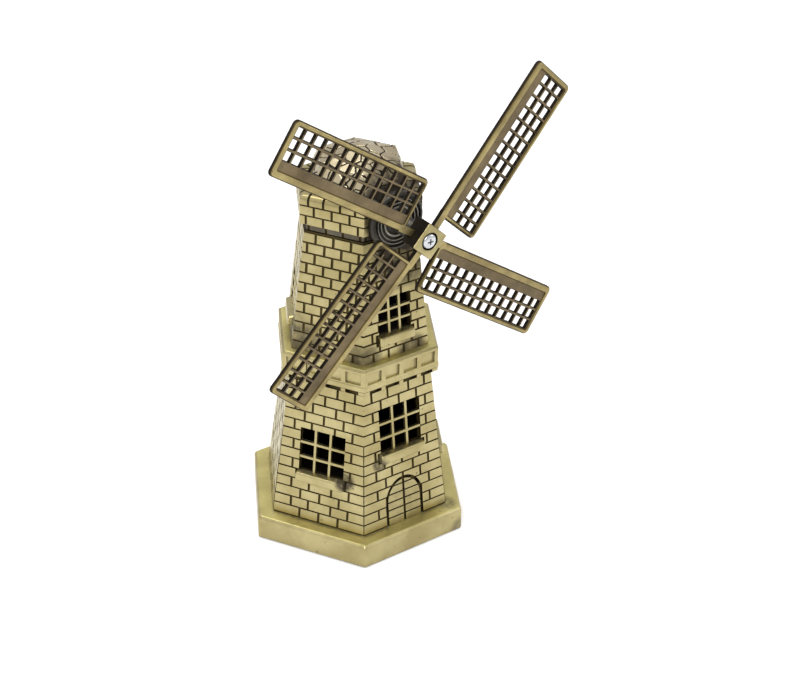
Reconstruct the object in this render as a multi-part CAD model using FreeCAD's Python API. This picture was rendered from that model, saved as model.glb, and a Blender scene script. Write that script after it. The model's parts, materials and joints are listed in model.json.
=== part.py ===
"""Windmill table ornament in antique brass, in millimetres.

A hexagonal tower of hollow castings is stacked on a plinth and drawn together by a tie rod.
A rotor of four lattice sails turns on a screw in the cap.
+Z is up, the origin is the centre of the underside, and the door and the rotor face -Y.
"""
import FreeCAD, Part
import math
import os
from collections import namedtuple

from FreeCAD import Placement, Rotation, Vector

# A storey is a hexagonal frustum: heights of its ends and the centre-to-corner radius at each.
Storey = namedtuple("Storey", "bottom bottom_radius top top_radius")
# A window is set in a storey's wall: its name, where the wall faces in degrees, and the height of its foot.
Window = namedtuple("Window", "name facing foot")

# Tower, from the table up. Radii run from the centre to a corner of the hexagon.
PLINTH = Storey(0.2, 32.0, 7.0, 32.0)
LOWER = Storey(PLINTH.top, 27.4, 49.6, 21.3)
GALLERY = Storey(LOWER.top, 23.7, 56.1, 23.7)
UPPER = Storey(GALLERY.top, 20.7, 89.2, 16.6)
NECK = Storey(UPPER.top, 16.0, 91.4, 16.0)
CAP = Storey(NECK.top, 17.8, 99.4, 17.8)
DOME_FOOT = Storey(CAP.top, 13.6, 101.9, 13.2)
DOME_SHOULDER = Storey(DOME_FOOT.top, DOME_FOOT.top_radius, 105.6, 11.4)
DOME_CROWN = Storey(DOME_SHOULDER.top, DOME_SHOULDER.top_radius, 107.9, 3.0)
WALL = 2.1
CAP_BULLNOSE = 1.6

# Windows, door and their trim.
LOWER_WINDOW_WIDTH = 13.1
LOWER_WINDOW_HEIGHT = 12.7
LOWER_WINDOWS = [
    Window("left", -150, 21.6),
    Window("right", -30, 21.6),
    Window("rear", 90, 21.6),
    Window("front", -90, 29.3),
]
UPPER_WINDOW_WIDTH = 10.0
UPPER_WINDOW_HEIGHT = 9.9
UPPER_WINDOWS = [
    Window("front", -90, 62.9),
    Window("rear_right", 30, 62.9),
    Window("rear_left", 150, 62.9),
]
PANES = 3
GLAZING_BAR = 0.75
SILL_HEIGHT = 2.6
SILL_OVERHANG = 0.5
SILL_PROJECTION = 1.5
SILL_TAIL = 1.0
DOOR_HALF_WIDTH = 5.2
DOOR_SPRING = 6.8
DOOR_THICKNESS = 0.8
DOOR_GAP = 0.6
DOOR_REVEAL = 1.2

# Gallery panels and the corbels under it.
PANELS_PER_SIDE = 4
PANEL_PITCH = 5.66
PANEL_WIDTH = 4.2
PANEL_HEIGHT = 3.2
PANEL_FOOT = GALLERY.bottom + 2.0
PANEL_DEPTH = 0.5
CORBEL_WIDTH = 1.4
CORBEL_DROP = 1.9

# Tie rod, with its nut and washer in a pocket under the plinth, and the felt pad over them.
ROD_RADIUS = 1.5
ROD_HOLE_RADIUS = 1.6
ROD_TOP = 103.4
ROD_BOSS_RADIUS = 3.2
NUT_ACROSS_CORNERS = 6.35
NUT_HEIGHT = 2.4
WASHER_RADIUS = 3.5
WASHER_THICKNESS = 0.5
NUT_POCKET_RADIUS = 4.2
FELT_RADIUS = 29.0
FELT_THICKNESS = 1.2

# Rotor: hub, screw and the boss that holds the screw. Depths are along -Y from the tower's centre.
AXIS_HEIGHT = 94.5
HUB_FACE = 30.8
HUB_SIDE = 7.25
HUB_DEPTH = 5.2
SCREW_RADIUS = 1.25
HUB_BORE_RADIUS = 1.31
SCREW_HEAD_RADIUS = 2.05
SCREW_HEAD_HEIGHT = 1.3
HEAD_RECESS_RADIUS = 2.5
HEAD_RECESS_DEPTH = 1.2
SCREW_END = 13.0
PLAY = 0.1
THRUST_WASHER_RADIUS = 2.8
THRUST_WASHER_THICKNESS = 0.4
BOSS_DISC_RADIUS = 7.7
BOSS_FACE = 17.6
BOSS_SPIGOT_RADIUS = 4.0
BOSS_NOSE_RADIUS = 2.5

# Sails. Opposite sails share a stock; the first pair's stock crosses the hub in front of the second's.
SailPair = namedtuple("SailPair", "angle setback lean")
SAIL_PAIRS = (SailPair(47.3, 0.8, 2.3), SailPair(146.4, 2.9, 0.5))
SAIL_NAMES = ("sail_upper_right", "sail_upper_left", "sail_lower_left", "sail_lower_right")
SAIL_START = 6.9
SAIL_END = 51.4
SAIL_LEADING = 0.75
SAIL_WIDTH = 13.4
SAIL_THICKNESS = 1.3
SAIL_CORNER = 1.2
STOCK_RIM = 1.5
SIDE_RIM = 1.15
BOARD = 2.4
LATTICE_RECESS = 0.35
LATTICE_THICKNESS = 0.7
LATTICE_ROWS = 3
LATTICE_COLUMNS = 13
END_COLUMN = 2.75
LATTICE_BAR = 0.7
SOCKET_DEPTH = 1.0


def hexagon(radius, height):
    """Closed hexagonal wire with corners every 60 degrees from +X."""
    corners = []
    for k in range(7):
        angle = math.radians(60 * k)
        corners.append(Vector(radius * math.cos(angle), radius * math.sin(angle), height))
    return Part.makePolygon(corners)


def frustum(storey, inset=0.0):
    """Solid hexagonal frustum, drawn in by inset all round."""
    bottom = hexagon(storey.bottom_radius - inset, storey.bottom)
    top = hexagon(storey.top_radius - inset, storey.top)
    return Part.makeLoft([bottom, top], True, True)


def hollow(storey):
    """Frustum with open ends and walls of the common thickness."""
    return frustum(storey).cut(frustum(storey, WALL))


def box(x, y, z):
    """Box between the (low, high) pairs given for each axis."""
    size = Vector(x[1] - x[0], y[1] - y[0], z[1] - z[0])
    return Part.makeBox(size.x, size.y, size.z, Vector(x[0], y[0], z[0]))


def upright(radius, bottom, top):
    """Cylinder on the tower's centre line."""
    return Part.makeCylinder(radius, top - bottom, Vector(0, 0, bottom))


def shaft(radius, back, front):
    """Cylinder on the rotor's axis, between two depths in front of the tower's centre line."""
    return Part.makeCylinder(radius, front - back, Vector(0, -back, AXIS_HEIGHT), Vector(0, -1, 0))


def on_wall(storey, facing, height):
    """Placement on a wall's outer face: X along the wall, Y into it and Z up its slope."""
    rise = storey.top - storey.bottom
    taper = (storey.bottom_radius - storey.top_radius) * math.cos(math.pi / 6)
    lean = math.atan2(taper, rise)
    radius = storey.bottom_radius * math.cos(math.pi / 6) - taper * (height - storey.bottom) / rise
    turn = Rotation(Vector(0, 0, 1), facing + 90)
    position = turn.multVec(Vector(0, -radius, height))
    return Placement(position, turn * Rotation(Vector(1, 0, 0), -math.degrees(lean)))


def window_pieces(storey, window, width, height):
    """Opening, grille and sill of one window, placed in its wall."""
    half = width / 2
    through = WALL + 1.0
    opening = box((-half, half), (-1.0, through), (0, height))
    bars = []
    for k in range(1, PANES):
        x = -half + width * k / PANES
        z = height * k / PANES
        bars.append(box((x - GLAZING_BAR / 2, x + GLAZING_BAR / 2), (0, WALL * 0.8), (0, height)))
        bars.append(box((-half, half), (0, WALL * 0.8), (z - GLAZING_BAR / 2, z + GLAZING_BAR / 2)))
    grille = bars[0].multiFuse(bars[1:]).removeSplitter()
    reach = half + SILL_OVERHANG
    sill = box((-reach, reach), (-SILL_PROJECTION, SILL_TAIL), (-SILL_HEIGHT, 0))
    front_edges = [edge for edge in sill.Edges if abs(edge.CenterOfMass.y + SILL_PROJECTION) < 1e-6]
    sill = sill.makeFillet(0.5, front_edges)
    pieces = (opening, grille, sill)
    for piece in pieces:
        piece.Placement = on_wall(storey, window.facing, window.foot)
    return pieces


def pierced_wall(level, storey, windows, width, height):
    """A level's hollow storey with its windows cut, and (node, shape) pairs for their grilles and sills."""
    wall = hollow(storey)
    trim = []
    for window in windows:
        opening, grille, sill = window_pieces(storey, window, width, height)
        wall = wall.cut(opening).cut(sill)
        trim.append((f"{level}_grille_{window.name}", grille))
        trim.append((f"{level}_sill_{window.name}", sill))
    return wall, trim


def arch(half_width, back):
    """Door-shaped slab from the wall's face to the given depth: straight jambs under a half round."""
    jambs = box((-half_width, half_width), (-1.0, back), (0, DOOR_SPRING))
    head = Part.makeCylinder(half_width, back + 1.0, Vector(0, -1.0, DOOR_SPRING), Vector(0, 1, 0))
    return jambs.fuse(head).removeSplitter()


def door_pieces():
    """Door leaf and the shallow arched recess it is set in, on the lower storey's front wall."""
    recess = arch(DOOR_HALF_WIDTH + DOOR_GAP, DOOR_REVEAL)
    behind_face = DOOR_REVEAL - DOOR_THICKNESS
    leaf = arch(DOOR_HALF_WIDTH, DOOR_REVEAL).cut(box((-10, 10), (-2.0, behind_face), (-1, 20)))
    for piece in (recess, leaf):
        piece.Placement = on_wall(LOWER, -90, LOWER.bottom)
    above_plinth = box((-10, 10), (-40, 0), (LOWER.bottom, LOWER.top))
    return recess, leaf.common(above_plinth)


def plinth():
    """Solid base slab with a felt recess and a pocket for the nut below."""
    slab = frustum(PLINTH)
    pocket_top = FELT_THICKNESS + NUT_HEIGHT + WASHER_THICKNESS
    slab = slab.cut(frustum(Storey(0, FELT_RADIUS, FELT_THICKNESS, FELT_RADIUS)))
    slab = slab.cut(upright(NUT_POCKET_RADIUS, 0, pocket_top))
    slab = slab.cut(upright(ROD_HOLE_RADIUS, 0, PLINTH.top + 1))
    top_edges = [edge for edge in slab.Edges if edge.CenterOfMass.z > PLINTH.top - 0.01 and edge.Length > 20]
    return slab.makeChamfer(0.6, top_edges)


def tie_pieces():
    """Tie rod with its nut and washer."""
    pocket_top = FELT_THICKNESS + NUT_HEIGHT + WASHER_THICKNESS
    nut_top = pocket_top - WASHER_THICKNESS
    rod = upright(ROD_RADIUS, FELT_THICKNESS, ROD_TOP)
    nut_storey = Storey(FELT_THICKNESS, NUT_ACROSS_CORNERS / 2, nut_top, NUT_ACROSS_CORNERS / 2)
    nut = frustum(nut_storey).cut(rod)
    washer = upright(WASHER_RADIUS, nut_top, pocket_top).cut(upright(ROD_HOLE_RADIUS, nut_top, pocket_top))
    return rod, nut, washer


def rod_socket(bottom, top):
    """Boss round the tie rod, as a (solid, hole) pair."""
    return upright(ROD_BOSS_RADIUS, bottom, top), upright(ROD_HOLE_RADIUS, bottom - 1, top + 1)


def gallery():
    """Overhanging tray between the storeys, with panelled sides and small corbels below."""
    floor = 1.8
    inner_radius = LOWER.top_radius - WALL - 1.2
    boss, hole = rod_socket(GALLERY.bottom, GALLERY.top)
    below_floor = frustum(Storey(GALLERY.bottom, inner_radius, GALLERY.top - floor, inner_radius))
    tray = frustum(GALLERY).cut(below_floor)
    tray = tray.fuse(boss).cut(hole)
    face = GALLERY.top_radius * math.cos(math.pi / 6)
    wall_foot = LOWER.top_radius * math.cos(math.pi / 6)
    panels = []
    corbels = []
    for side in range(6):
        turn = Placement(Vector(0, 0, 0), Rotation(Vector(0, 0, 1), 60 * side))
        for k in range(PANELS_PER_SIDE):
            x = (k - (PANELS_PER_SIDE - 1) / 2) * PANEL_PITCH
            across = (x - PANEL_WIDTH / 2, x + PANEL_WIDTH / 2)
            depth = (-face - 1, -face + PANEL_DEPTH)
            panels.append(box(across, depth, (PANEL_FOOT, PANEL_FOOT + PANEL_HEIGHT)))
            panels[-1].Placement = turn
        for k in range(PANELS_PER_SIDE - 1):
            x = (k - (PANELS_PER_SIDE - 2) / 2) * PANEL_PITCH
            across = (x - CORBEL_WIDTH / 2, x + CORBEL_WIDTH / 2)
            depth = (-wall_foot - 1.5, -wall_foot - 0.25)
            corbels.append(box(across, depth, (GALLERY.bottom - CORBEL_DROP, GALLERY.bottom)))
            corbels[-1].Placement = turn
    return tray.multiFuse(corbels).cut(Part.makeCompound(panels)).removeSplitter()


def cap():
    """Top storey: a recessed neck course, the brick walls, a roof plate and the housing behind the boss."""
    outer = frustum(CAP)
    top_edges = [edge for edge in outer.Edges if edge.CenterOfMass.z > CAP.top - 0.01]
    outer = outer.makeFillet(CAP_BULLNOSE, top_edges)
    wall_front = CAP.top_radius * math.cos(math.pi / 6)
    housing_back = DOME_FOOT.bottom_radius * math.cos(math.pi / 6) - 3.0
    housing = shaft(BOSS_DISC_RADIUS - 0.6, housing_back, wall_front)
    housing = housing.common(box((-20, 20), (-20, 0), (CAP.bottom, CAP.top + 20)))
    inside = Storey(NECK.bottom, NECK.top_radius - WALL, CAP.top - WALL, NECK.top_radius - WALL)
    solid = outer.fuse(frustum(NECK)).fuse(housing).cut(frustum(inside))
    boss, hole = rod_socket(NECK.bottom, CAP.top)
    solid = solid.cut(shaft(BOSS_SPIGOT_RADIUS, 0, wall_front + 1))
    return solid.fuse(boss).cut(hole).removeSplitter()


def dome(cap_shape):
    """Faceted roof shell with a threaded boss for the tie rod, notched round the shaft housing."""
    outer = frustum(DOME_FOOT).fuse(frustum(DOME_SHOULDER)).fuse(frustum(DOME_CROWN))
    hollow_top = DOME_SHOULDER.top - WALL
    foot_room = DOME_FOOT.bottom_radius - WALL
    room = frustum(Storey(DOME_FOOT.bottom, foot_room, hollow_top, DOME_SHOULDER.top_radius - WALL))
    boss = upright(ROD_BOSS_RADIUS, DOME_FOOT.bottom, DOME_CROWN.bottom)
    return outer.cut(room).fuse(boss).cut(upright(ROD_RADIUS, 0, ROD_TOP)).cut(cap_shape).removeSplitter()


def shaft_boss():
    """Turned boss in the cap's front wall: spigot, ringed disc and the nose that the rotor runs against."""
    disc_back = CAP.top_radius * math.cos(math.pi / 6)
    nose_end = HUB_FACE - HUB_DEPTH - PLAY - THRUST_WASHER_THICKNESS
    ring_depth = 0.6
    boss = shaft(BOSS_SPIGOT_RADIUS, disc_back - WALL - 1.0, disc_back)
    boss = boss.fuse(shaft(BOSS_DISC_RADIUS, disc_back, BOSS_FACE))
    for outer, inner in ((6.9, 6.3), (5.0, 4.4)):
        groove = shaft(outer, BOSS_FACE - ring_depth, BOSS_FACE + 1).cut(shaft(inner, 0, BOSS_FACE + 2))
        boss = boss.cut(groove)
    boss = boss.fuse(shaft(BOSS_NOSE_RADIUS, BOSS_FACE, nose_end))
    return boss.cut(shaft(SCREW_RADIUS, 0, nose_end + 1)).removeSplitter()


def screw():
    """Pan-head cross-recess screw that the hub turns on."""
    head_back = HUB_FACE - HEAD_RECESS_DEPTH + PLAY
    head = shaft(SCREW_HEAD_RADIUS, head_back, head_back + SCREW_HEAD_HEIGHT)
    crown = [edge for edge in head.Edges if edge.CenterOfMass.y < -head_back - SCREW_HEAD_HEIGHT + 0.01]
    head = head.makeFillet(0.6, crown)
    arm = 1.1
    slot = 0.22
    front = (-head_back - SCREW_HEAD_HEIGHT - 1, -head_back - SCREW_HEAD_HEIGHT + 0.7)
    for half_x, half_z in ((arm, slot), (slot, arm)):
        head = head.cut(box((-half_x, half_x), front, (AXIS_HEIGHT - half_z, AXIS_HEIGHT + half_z)))
    return head.fuse(shaft(SCREW_RADIUS, SCREW_END, head_back)).removeSplitter()


def thrust_washer():
    """Thin washer between the boss's nose and the hub."""
    front = HUB_FACE - HUB_DEPTH - PLAY
    back = front - THRUST_WASHER_THICKNESS
    return shaft(THRUST_WASHER_RADIUS, back, front).cut(shaft(HUB_BORE_RADIUS, back - 1, front + 1))


def sail_neck():
    """Stem that joins a sail's stock rim to the hub, along +X."""
    across = (SAIL_LEADING - STOCK_RIM, SAIL_LEADING)
    return box((HUB_SIDE / 2 - SOCKET_DEPTH, SAIL_START + SAIL_CORNER), (0, SAIL_THICKNESS), across)


def sail():
    """One sail along +X, its front at Y = 0: a raised rim round a board and a 3-row lattice."""
    low = SAIL_LEADING - SAIL_WIDTH
    frame = box((SAIL_START, SAIL_END), (0, SAIL_THICKNESS), (low, SAIL_LEADING))
    corners = [edge for edge in frame.Edges if abs(edge.Length - SAIL_THICKNESS) < 1e-6]
    frame = frame.makeFillet(SAIL_CORNER, corners)
    left = SAIL_START + SIDE_RIM
    right = SAIL_END - STOCK_RIM
    foot = low + SIDE_RIM
    head = SAIL_LEADING - STOCK_RIM
    lattice_back = LATTICE_RECESS + LATTICE_THICKNESS
    for recess in ((-1, LATTICE_RECESS), (lattice_back, SAIL_THICKNESS + 1)):
        frame = frame.cut(box((left, right), recess, (foot, head)))
    row = (head - BOARD - foot + LATTICE_BAR) / LATTICE_ROWS
    column = (right - left - 2 * END_COLUMN + LATTICE_BAR) / (LATTICE_COLUMNS - 2)
    holes = []
    for i in range(LATTICE_COLUMNS):
        start = left if i == 0 else left + END_COLUMN + (i - 1) * column
        end = right if i == LATTICE_COLUMNS - 1 else left + END_COLUMN + i * column - LATTICE_BAR
        end = left + END_COLUMN - LATTICE_BAR if i == 0 else end
        for j in range(LATTICE_ROWS):
            hole_foot = foot + j * row
            up = (hole_foot, hole_foot + row - LATTICE_BAR)
            holes.append(box((start, end), (-1, SAIL_THICKNESS + 1), up))
    return frame.cut(Part.makeCompound(holes)).fuse(sail_neck()).removeSplitter()


def rotor_pieces():
    """Hub and four sails, turned to their rest angles about the rotor's axis."""
    half = HUB_SIDE / 2
    hub = box((-half, half), (0, HUB_DEPTH), (-half, half))
    hub = hub.makeChamfer(0.25, [edge for edge in hub.Edges if abs(edge.CenterOfMass.y) < 1e-6])
    hub_turn = Rotation(Vector(0, -1, 0), SAIL_PAIRS[0].angle)
    hub.Placement = Placement(Vector(0, -HUB_FACE, AXIS_HEIGHT), hub_turn)
    sails = []
    for k, name in enumerate(SAIL_NAMES):
        pair = SAIL_PAIRS[k % 2]
        turn = Rotation(Vector(0, -1, 0), pair.angle + 180 * (k // 2))
        lean_back = Rotation(Vector(0, 0, 1), pair.lean)
        blade = sail()
        blade.Placement = Placement(Vector(0, pair.setback - HUB_FACE, AXIS_HEIGHT), turn.multiply(lean_back))
        hub = hub.cut(blade)
        sails.append((name, blade))
    hub = hub.cut(shaft(HUB_BORE_RADIUS, 0, HUB_FACE + 1))
    hub = hub.cut(shaft(HEAD_RECESS_RADIUS, HUB_FACE - HEAD_RECESS_DEPTH, HUB_FACE + 1))
    return [("hub", hub)] + sails


def tower_pieces():
    """Everything that stands still, as (node, shape) pairs."""
    rod, nut, washer = tie_pieces()
    lower, lower_trim = pierced_wall("lower", LOWER, LOWER_WINDOWS, LOWER_WINDOW_WIDTH, LOWER_WINDOW_HEIGHT)
    upper, upper_trim = pierced_wall("upper", UPPER, UPPER_WINDOWS, UPPER_WINDOW_WIDTH, UPPER_WINDOW_HEIGHT)
    recess, door = door_pieces()
    cap_shape = cap()
    return lower_trim + upper_trim + [
        ("felt_pad", frustum(Storey(0, FELT_RADIUS, FELT_THICKNESS, FELT_RADIUS))),
        ("base_plinth", plinth()),
        ("tie_rod", rod),
        ("tie_rod_nut", nut),
        ("tie_rod_washer", washer),
        ("lower_tower", lower.cut(recess)),
        ("door", door),
        ("gallery", gallery()),
        ("upper_tower", upper),
        ("cap", cap_shape),
        ("dome", dome(cap_shape)),
        ("shaft_boss", shaft_boss()),
        ("thrust_washer", thrust_washer()),
        ("hub_screw", screw()),
    ]


os.makedirs("parts", exist_ok=True)
for node, shape in tower_pieces() + rotor_pieces():
    shape.exportStep(f"parts/{node}.step")
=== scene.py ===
"""Antique-brass windmill ornament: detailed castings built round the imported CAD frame.

Lengths are in metres in the row frame: +Z up, the origin under the plinth, the door and the rotor facing -Y.
"""
import bmesh
import bpy
import json
import math
import numpy as np
import random
from collections import namedtuple
from mathutils import Matrix, Vector


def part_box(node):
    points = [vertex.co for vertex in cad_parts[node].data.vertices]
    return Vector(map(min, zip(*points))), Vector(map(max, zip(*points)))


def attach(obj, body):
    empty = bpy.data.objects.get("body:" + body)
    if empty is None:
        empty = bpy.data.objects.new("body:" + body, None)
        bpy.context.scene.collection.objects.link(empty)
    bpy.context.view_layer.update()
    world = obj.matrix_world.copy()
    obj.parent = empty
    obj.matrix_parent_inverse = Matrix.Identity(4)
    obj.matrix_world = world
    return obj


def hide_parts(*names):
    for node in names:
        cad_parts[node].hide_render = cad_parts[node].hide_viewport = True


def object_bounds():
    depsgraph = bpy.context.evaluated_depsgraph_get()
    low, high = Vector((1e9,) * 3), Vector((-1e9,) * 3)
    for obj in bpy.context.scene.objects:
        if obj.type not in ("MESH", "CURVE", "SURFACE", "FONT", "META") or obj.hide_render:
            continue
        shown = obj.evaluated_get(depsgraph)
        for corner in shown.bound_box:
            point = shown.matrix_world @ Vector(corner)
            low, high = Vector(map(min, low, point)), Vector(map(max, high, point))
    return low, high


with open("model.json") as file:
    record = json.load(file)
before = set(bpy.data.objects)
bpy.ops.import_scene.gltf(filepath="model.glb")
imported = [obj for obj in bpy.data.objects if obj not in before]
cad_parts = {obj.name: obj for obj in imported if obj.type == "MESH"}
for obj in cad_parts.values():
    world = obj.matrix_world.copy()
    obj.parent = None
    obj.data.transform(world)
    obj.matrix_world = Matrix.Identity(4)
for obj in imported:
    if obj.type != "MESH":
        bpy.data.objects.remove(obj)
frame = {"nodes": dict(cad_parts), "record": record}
CAD_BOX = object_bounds()
MM = 0.001
COS30 = math.cos(math.pi / 6)
FACINGS = (-150, -90, -30, 30, 90, 150)
SQUARE = ((-1, -1), (1, -1), (1, 1), (-1, 1))

# A storey is a hexagonal frustum: heights of its ends and the centre-to-corner radius at each.
Storey = namedtuple("Storey", "bottom bottom_radius top top_radius")
# A patch of a wall: where the wall faces, and the patch's reach along it and in height.
Patch = namedtuple("Patch", "facing left right low high")

# Brickwork: the foot of its lowest course, the height and number of its courses, and the upright joints of
# alternate courses, in mm along each wall from its middle.
Brickwork = namedtuple("Brickwork", "foot course count bonds")

# Relief of the castings, and the thickness of their hollow walls.
RELIEF = 0.35 * MM
WALL = 2.0 * MM
BED_JOINT = 0.42 * MM
UPRIGHT_JOINT = 0.66 * MM
BRICK_EDGE = 0.13 * MM
BRICK_KEY = 0.3 * MM
SEAM_COURSES = 9
CAP_COURSES = 3
LOWER_BONDS = ((-5.66, 0, 5.66), (-8.45, -3.36, 3.36, 8.45))
UPPER_BONDS = ((-7.2, -2.4, 2.4, 7.2), (-4.96, 0, 4.96))
COPING_BOND = (-6.45, -2.3, 2.3, 6.45)
COPING_ROUND = 1.4 * MM
NECK_HEIGHT = 2.2 * MM
GALLERY_PITCH = 5.66 * MM


# ---- reading the frame

def node_points(node):
    """A CAD node's vertices in the row frame."""
    return [v.co.copy() for v in frame["nodes"][node].data.vertices]


def radius_near(node, height):
    """Largest distance from the centre line among a node's vertices at a height."""
    return max(p.xy.length for p in node_points(node) if abs(p.z - height) < 0.05 * MM)


def storey_of(node):
    """The frustum that a tower node's outside follows."""
    low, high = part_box(node)
    return Storey(low.z, radius_near(node, low.z), high.z, radius_near(node, high.z))


def outward(facing):
    """Level direction from the centre line, straight out through a wall or a corner."""
    angle = math.radians(facing)
    return Vector((math.cos(angle), math.sin(angle), 0))


def tangent(facing):
    """Direction along a wall, to the right for someone looking at it."""
    angle = math.radians(facing)
    return Vector((-math.sin(angle), math.cos(angle), 0))


def patch_of(node):
    """The patch of wall that a flat node covers."""
    low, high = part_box(node)
    middle = (low + high) / 2
    facing = 60 * round((math.degrees(math.atan2(middle.y, middle.x)) - 30) / 60) + 30
    along = [p.dot(tangent(facing)) for p in node_points(node)]
    return Patch(facing, min(along), max(along), low.z, high.z)


def upright_storey(bottom, top, radius):
    """A storey whose walls don't taper."""
    return Storey(bottom, radius, top, radius)


LOWER = storey_of("lower_tower")
UPPER = storey_of("upper_tower")
LOWER_BRICKS = Brickwork(LOWER.bottom + 0.33 * MM, 2.88 * MM, 14, LOWER_BONDS)
UPPER_BRICKS = Brickwork(UPPER.bottom - 0.3 * MM, (UPPER.top - UPPER.bottom) / 12, 12, UPPER_BONDS)
GALLERY = upright_storey(LOWER.top, UPPER.bottom, radius_near("gallery", UPPER.bottom))
DOME_LOW, DOME_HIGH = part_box("dome")
NECK = upright_storey(UPPER.top, UPPER.top + NECK_HEIGHT, radius_near("cap", UPPER.top))
CAP = upright_storey(NECK.top, DOME_LOW.z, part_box("cap")[1].x)
PLINTH_LOW, PLINTH_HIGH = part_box("base_plinth")
AXIS = Vector(frame["record"]["behaviour"]["joints"][0]["pos_m"])
HUB_LOW, HUB_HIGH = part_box("hub")
GRILLES = [node for node in frame["nodes"] if "_grille_" in node]


# ---- mesh tools

def quarter_turn(steps):
    """Angles from 0 to 90 degrees."""
    return [math.pi / 2 * k / steps for k in range(steps + 1)]


def add_band(mesh, near, far):
    """Strip of faces between two loops of vertices."""
    for k in range(len(near)):
        mesh.faces.new((near[k - 1], near[k], far[k], far[k - 1]))


def add_loft(mesh, rings):
    """Closed solid through rings of points, capped at both ends."""
    loops = [[mesh.verts.new(p) for p in ring] for ring in rings]
    for near, far in zip(loops, loops[1:]):
        add_band(mesh, near, far)
    mesh.faces.new(loops[0][::-1])
    mesh.faces.new(loops[-1])


def add_frame(mesh, rings):
    """Frame with a hole through it: a skin through rings of points, the last ring joined to the first."""
    loops = [[mesh.verts.new(p) for p in ring] for ring in rings]
    for near, far in zip(loops, loops[1:] + loops[:1]):
        add_band(mesh, near, far)


def add_turning(mesh, profile, point, steps):
    """Solid of revolution: point(radius, place, k) puts one profile point at step k of the turn."""
    loops = []
    for radius, place in profile:
        count = steps if radius > 0 else 1
        loops.append([mesh.verts.new(point(radius, place, k)) for k in range(count)])
    for near, far in zip(loops, loops[1:]):
        for k in range(steps):
            near_side = [near[k % len(near)], near[(k + 1) % len(near)]]
            far_side = [far[(k + 1) % len(far)], far[k % len(far)]]
            face = list(dict.fromkeys(near_side + far_side))
            if len(face) > 2:
                mesh.faces.new(face)


def hexagonal(radius, height, k):
    """Point k of a hexagon round the tower's centre line."""
    angle = math.radians(60 * k)
    return Vector((radius * math.cos(angle), radius * math.sin(angle), height))


def add_hexagonal(mesh, profile):
    """Hexagonal solid from (radius, height) points that start and end on the centre line."""
    add_turning(mesh, profile, hexagonal, 6)


def add_turned(mesh, profile, steps=96):
    """Round solid on the rotor's axis from (radius, depth in front of the centre line) points."""
    def point(radius, depth, k):
        angle = 2 * math.pi * k / steps
        return Vector((radius * math.cos(angle), -depth, AXIS.z + radius * math.sin(angle)))
    add_turning(mesh, profile, point, steps)


def add_cells(mesh, xs, ys, zs, filled):
    """Skin of the filled cells of a grid with the given cuts; filled(i, j, k) says which cells are solid."""
    verts = {}

    def vert(i, j, k):
        if (i, j, k) not in verts:
            verts[i, j, k] = mesh.verts.new((xs[i], ys[j], zs[k]))
        return verts[i, j, k]

    def solid(cell):
        inside = all(0 <= c < len(cuts) - 1 for c, cuts in zip(cell, (xs, ys, zs)))
        return inside and filled(*cell)

    for i in range(len(xs) - 1):
        for j in range(len(ys) - 1):
            for k in range(len(zs) - 1):
                if not filled(i, j, k):
                    continue
                for axis in range(3):
                    for side in (0, 1):
                        beyond = [i, j, k]
                        beyond[axis] += 2 * side - 1
                        if solid(beyond):
                            continue
                        corner = [i, j, k]
                        corner[axis] += side
                        u, v = [a for a in range(3) if a != axis]
                        loop = []
                        for du, dv in ((0, 0), (1, 0), (1, 1), (0, 1)):
                            place = list(corner)
                            place[u] += du
                            place[v] += dv
                            loop.append(vert(*place))
                        mesh.faces.new(loop)
    return verts


def to_object(name, mesh):
    """New object from a bmesh, with its normals turned outwards."""
    bmesh.ops.recalc_face_normals(mesh, faces=mesh.faces)
    data = bpy.data.meshes.new(name)
    mesh.to_mesh(data)
    mesh.free()
    made = bpy.data.objects.new(name, data)
    bpy.context.scene.collection.objects.link(made)
    return made


def apply_modifiers(piece):
    """Fixes a piece's modifiers into its mesh."""
    bpy.context.view_layer.update()
    done = bpy.data.meshes.new_from_object(piece.evaluated_get(bpy.context.evaluated_depsgraph_get()))
    piece.modifiers.clear()
    piece.data = done


def carve(piece, cutter):
    """Takes the cutter's solids, given as a bmesh, out of the piece."""
    tool = to_object("cutter", cutter)
    cut = piece.modifiers.new("carve", "BOOLEAN")
    cut.operation = "DIFFERENCE"
    cut.solver = "EXACT"
    cut.use_self = True
    cut.object = tool
    apply_modifiers(piece)
    bpy.data.objects.remove(tool)


def soften(piece, width, segments=2, angle=30):
    """Rounds every edge sharper than the angle, and shades the piece smooth."""
    round_off = piece.modifiers.new("soften", "BEVEL")
    round_off.width = width
    round_off.segments = segments
    round_off.angle_limit = math.radians(angle)
    round_off.harden_normals = True
    for face in piece.data.polygons:
        face.use_smooth = True
    apply_modifiers(piece)


def install(piece, body, finish, material, *nodes):
    """Gives a piece its material and its body, and hides the CAD nodes it stands for."""
    if not piece.data.materials:
        piece.data.materials.append(material)
    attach(piece, body)
    if nodes:
        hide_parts(*nodes)


def keep_cad_shape(node, material):
    """Gives a material to a CAD node that isn't replaced."""
    part = frame["nodes"][node]
    part.data.materials.clear()
    part.data.materials.append(material)


# ---- places on the tower's walls

def radius_at(storey, height):
    """Centre-to-corner radius of a storey at a height."""
    share = (height - storey.bottom) / (storey.top - storey.bottom)
    return storey.bottom_radius + (storey.top_radius - storey.bottom_radius) * share


def on_wall(storey, facing, along, height, proud):
    """Point on a wall, standing proud of its face."""
    reach = radius_at(storey, height) * COS30 + proud
    return outward(facing) * reach + tangent(facing) * along + Vector((0, 0, height))


def on_corner(storey, angle, height, proud):
    """Point on a corner of the tower where the walls on both sides stand proud."""
    reach = radius_at(storey, height) + proud / COS30
    return Vector((reach * math.cos(math.radians(angle)), reach * math.sin(math.radians(angle)), height))


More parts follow.
